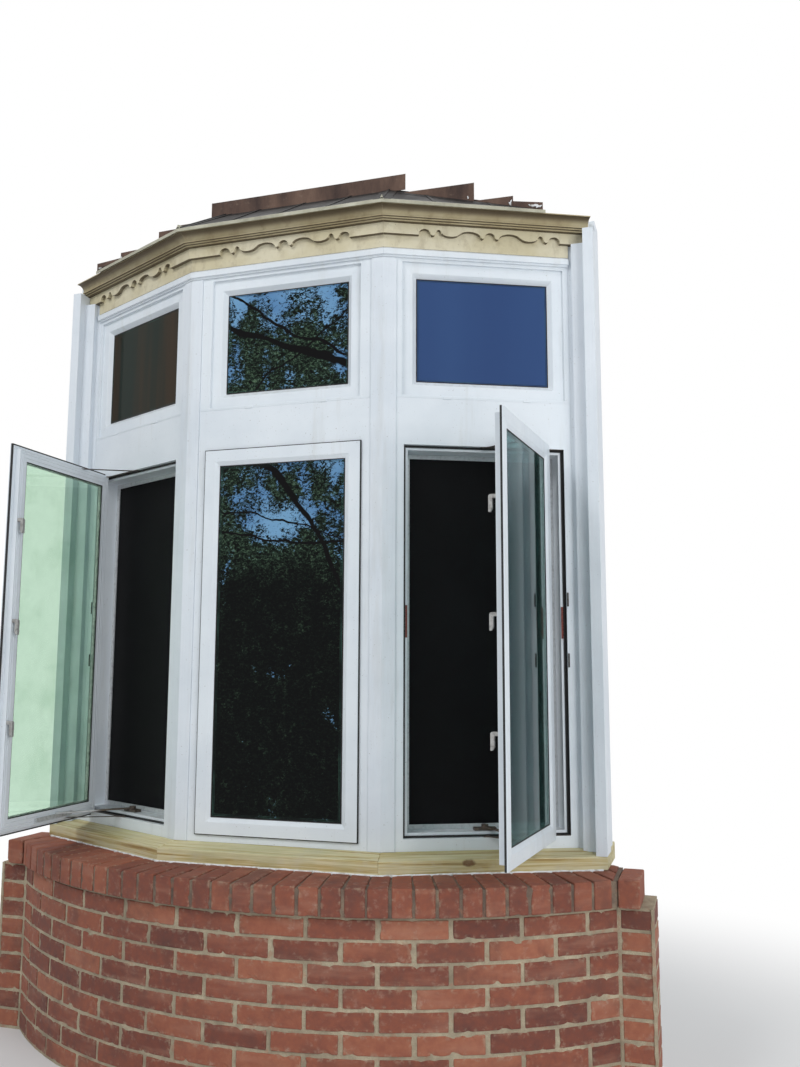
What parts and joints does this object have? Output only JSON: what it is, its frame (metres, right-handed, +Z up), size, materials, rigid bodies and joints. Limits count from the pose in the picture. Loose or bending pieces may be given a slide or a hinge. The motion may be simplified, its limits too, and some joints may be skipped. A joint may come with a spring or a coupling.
{
  "type": "bay window",
  "caption": "Bay window on a bowed brick base, with white transom and casement windows, two casements open, a scalloped cream cornice and a hipped metal roof.",
  "frame": {"origin": "on the ground, on the centre line, under the middle of the brick wall's thickness", "axes": "+X to the right along the house wall seen from the street, +Y into the house, +Z up"},
  "size_m": [2.472, 0.8004, 3.2045],
  "materials": {
    "brick": "rough fired clay, red-brown with orange and dark bricks, sooty and stained",
    "mortar": "grey-beige sand mortar, struck joints with smears",
    "block": "plain plastered block",
    "sill_timber": "treated softwood, greenish tan, open grain with knots",
    "window_white": "white vinyl, satin",
    "board_white": "white painted boards",
    "cornice_paint": "cream painted wood, dusty and worn",
    "glass_dark": "double glazing, dark room behind",
    "glass_clear": "double glazing with a light green tint",
    "screen_frame": "pale grey enamel",
    "screen_mesh": "black insect mesh",
    "hardware": "dull zinc",
    "roof_metal": "dark brown sheet metal, matt",
    "beam_wood": "bare softwood",
    "inside_paint": "off-white painted boards",
    "sealant": "white sealant bead",
    "gasket": "black weather strip"
  },
  "bodies": {
    "root": {"brick_base": "brick", "brick_sill_course": "brick", "backing_wall": "block", "timber_sill_left": "sill_timber", "timber_sill_centre": "sill_timber", "timber_sill_right": "sill_timber", "window_frame_left": "window_white", "window_frame_centre": "window_white", "window_frame_right": "window_white", "corner_post_left": "board_white", "corner_post_right": "board_white", "jamb_casing_left": "board_white", "jamb_casing_right": "board_white", "transom_glass_left": "glass_dark", "transom_glass_centre": "glass_dark", "transom_glass_right": "glass_dark", "casement_sash_left": "window_white", "casement_sash_centre": "window_white", "casement_sash_right": "window_white", "casement_glass_left": "glass_clear", "casement_glass_centre": "glass_dark", "casement_glass_right": "glass_clear", "screen_frame_left": "screen_frame", "screen_frame_right": "screen_frame", "screen_mesh_left": "screen_mesh", "screen_mesh_right": "screen_mesh", "hinge_arms_left": "hardware", "hinge_arms_right": "hardware", "operator_left": "hardware", "operator_right": "hardware", "lock_keepers_left": "hardware", "lock_keepers_right": "hardware", "drip_strip": "board_white", "frieze_board": "cornice_paint", "scalloped_trim_left": "cornice_paint", "scalloped_trim_centre": "cornice_paint", "scalloped_trim_right": "cornice_paint", "crown_left": "cornice_paint", "crown_centre": "cornice_paint", "crown_right": "cornice_paint", "head_beam": "beam_wood", "metal_roof": "roof_metal", "step_flashing": "roof_metal", "window_board": "inside_paint", "bay_ceiling": "inside_paint"}
  },
  "joints": []
}
